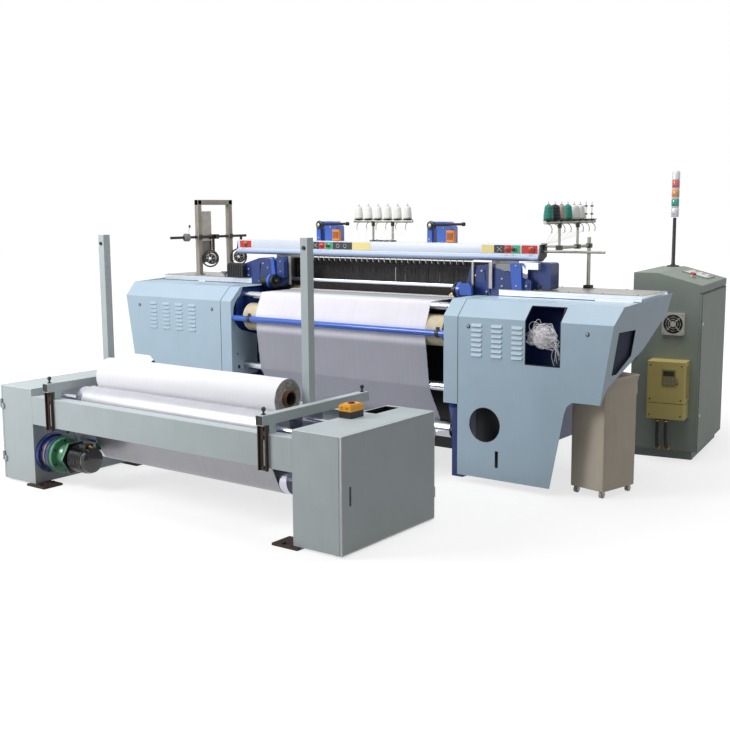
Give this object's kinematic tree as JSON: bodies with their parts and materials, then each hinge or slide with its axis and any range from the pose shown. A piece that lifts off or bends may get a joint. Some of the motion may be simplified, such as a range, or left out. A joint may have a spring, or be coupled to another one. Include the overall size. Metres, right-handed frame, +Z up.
{
  "type": "rapier loom with cloth batching unit",
  "caption": "Rapier loom with leaning sheet covers, cloth take-up, a separate drum batching unit in front, weft feeder stand, yarn creels, control cabinet with signal tower and a waste bin.",
  "frame": {"origin": "middle of the floor area that the whole plant takes, at floor level", "axes": "+X across the loom to the weaver's right, where the cabinet stands; -Y towards the weaver, where the cloth comes out; +Z up"},
  "size_m": [4.109, 3.8706, 1.9493],
  "materials": {
    "aluminium": "anodised",
    "beige_rubber": "ribbed rubber covering",
    "bin_plastic": "moulded, scuffed",
    "black_enamel": "black enamel",
    "bright_blue_paint": "gloss enamel",
    "bright_steel": "ground and polished",
    "cast_blue_paint": "gloss enamel over casting",
    "dark_bracket": "browned steel",
    "dark_harness": "dark oiled steel",
    "grey_green_paint": "powder coated, fine texture",
    "olive_plastic": "moulded",
    "pale_blue_paint": "powder coated, semi-gloss",
    "white_cloth": "plain weave, unbleached white",
    "yarn": "wound cotton yarn",
    "yellow_plastic": "moulded"
  },
  "bodies": {
    "plant": {"back_rest_roller": "bright_steel", "batcher_cloth": "white_cloth", "batcher_front_beam": "grey_green_paint", "batcher_gearbox": "cast_blue_paint", "batcher_left_housing": "grey_green_paint", "batcher_motor": "black_enamel", "batcher_rear_beam": "grey_green_paint", "batcher_right_housing": "grey_green_paint", "cabinet_body": "grey_green_paint", "cloth_guide_bar": "bright_steel", "fan_guard": "grey_green_paint", "feeder_stand": "bright_steel", "front_weft_feeder": "black_enamel", "guard_tube": "bright_blue_paint", "harness_gantry": "bright_steel", "inverter": "olive_plastic", "left_arch_bracket": "bright_blue_paint", "left_cover_strip": "pale_blue_paint", "left_front_cover": "pale_blue_paint", "left_gear_case": "cast_blue_paint", "left_guide_arm": "grey_green_paint", "left_guide_post": "grey_green_paint", "left_rapier_drive": "cast_blue_paint", "left_rapier_guide_box": "aluminium", "left_slotted_bracket": "dark_bracket", "left_yarn_creel": "yarn", "loom_cloth": "white_cloth", "loom_left_frame": "cast_blue_paint", "loom_right_frame": "cast_blue_paint", "operating_rail": "aluminium", "push_button_box": "yellow_plastic", "rear_cross_tube": "cast_blue_paint", "rear_weft_feeder": "black_enamel", "reed": "dark_harness", "right_arch_bracket": "bright_blue_paint", "right_cover_strip": "pale_blue_paint", "right_front_cover": "pale_blue_paint", "right_gear_case": "cast_blue_paint", "right_guide_arm": "grey_green_paint", "right_guide_post": "grey_green_paint", "right_rapier_drive": "cast_blue_paint", "right_rapier_guide_box": "aluminium", "right_slotted_bracket": "dark_bracket", "right_yarn_creel": "yarn", "signal_tower": "black_enamel", "warp_beam": "yarn", "warp_sheet": "yarn", "waste_bin": "bin_plastic"},
    "front_drum": {"front_drum": "bright_steel"},
    "rear_drum": {"rear_drum": "bright_steel"},
    "lower_drum": {"lower_drum": "bright_steel"},
    "cloth_roll": {"cloth_roll": "white_cloth"},
    "take_up_roller": {"take_up_roller": "beige_rubber"},
    "breast_roller": {"breast_roller": "bright_steel"},
    "return_roller": {"return_roller": "bright_steel"},
    "front_heald_frame": {"front_heald_frame": "dark_harness"},
    "rear_heald_frame": {"rear_heald_frame": "dark_harness"},
    "batcher_left_door": {"batcher_left_door": "grey_green_paint"},
    "batcher_right_door": {"batcher_right_door": "grey_green_paint"},
    "cabinet_door": {"cabinet_door": "grey_green_paint"}
  },
  "joints": [
    {"name": "front_drum_spin", "type": "hinge", "parent": "plant", "child": "front_drum", "pos_m": [0, -1.69228, 0.54], "axis": [1, 0, 0], "continuous": true},
    {"name": "rear_drum_spin", "type": "hinge", "parent": "plant", "child": "rear_drum", "pos_m": [0, -1.41228, 0.54], "axis": [1, 0, 0], "continuous": true},
    {"name": "lower_drum_spin", "type": "hinge", "parent": "plant", "child": "lower_drum", "pos_m": [0, -1.55228, 0.247], "axis": [1, 0, 0], "continuous": true},
    {"name": "cloth_roll_spin", "type": "hinge", "parent": "plant", "child": "cloth_roll", "pos_m": [0, -1.55228, 0.68227], "axis": [1, 0, 0], "continuous": true},
    {"name": "take_up_roller_spin", "type": "hinge", "parent": "plant", "child": "take_up_roller", "pos_m": [0, -0.11728, 0.92], "axis": [1, 0, 0], "continuous": true},
    {"name": "breast_roller_spin", "type": "hinge", "parent": "plant", "child": "breast_roller", "pos_m": [0, -0.13228, 1.079], "axis": [1, 0, 0], "continuous": true},
    {"name": "return_roller_spin", "type": "hinge", "parent": "plant", "child": "return_roller", "pos_m": [0, -0.07228, 0.275], "axis": [1, 0, 0], "continuous": true},
    {"name": "front_heald_lift", "type": "slide", "parent": "plant", "child": "front_heald_frame", "axis": [0, 0, 1], "range_m": [-0.03, 0.03]},
    {"name": "rear_heald_lift", "type": "slide", "parent": "plant", "child": "rear_heald_frame", "axis": [0, 0, 1], "range_m": [-0.03, 0.03]},
    {"name": "batcher_left_door_hinge", "type": "hinge", "parent": "plant", "child": "batcher_left_door", "pos_m": [-1.358, -1.91028, 0], "axis": [0, 0, 1], "range_deg": [0, 110]},
    {"name": "batcher_right_door_hinge", "type": "hinge", "parent": "plant", "child": "batcher_right_door", "pos_m": [1.358, -1.07428, 0], "axis": [0, 0, 1], "range_deg": [0, 110]},
    {"name": "cabinet_door_hinge", "type": "hinge", "parent": "plant", "child": "cabinet_door", "pos_m": [1.91868, 1.93528, 0], "axis": [0, 0, 1], "range_deg": [0, 110]}
  ],
  "couplings": [
    {"joint": "rear_drum_spin", "follows": "front_drum_spin", "ratio": 1},
    {"joint": "lower_drum_spin", "follows": "front_drum_spin", "ratio": 1},
    {"joint": "cloth_roll_spin", "follows": "front_drum_spin", "ratio": -0.82569},
    {"joint": "breast_roller_spin", "follows": "take_up_roller_spin", "ratio": 4.1667},
    {"joint": "return_roller_spin", "follows": "take_up_roller_spin", "ratio": -1.8182},
    {"joint": "rear_heald_lift", "follows": "front_heald_lift", "ratio": -1}
  ]
}
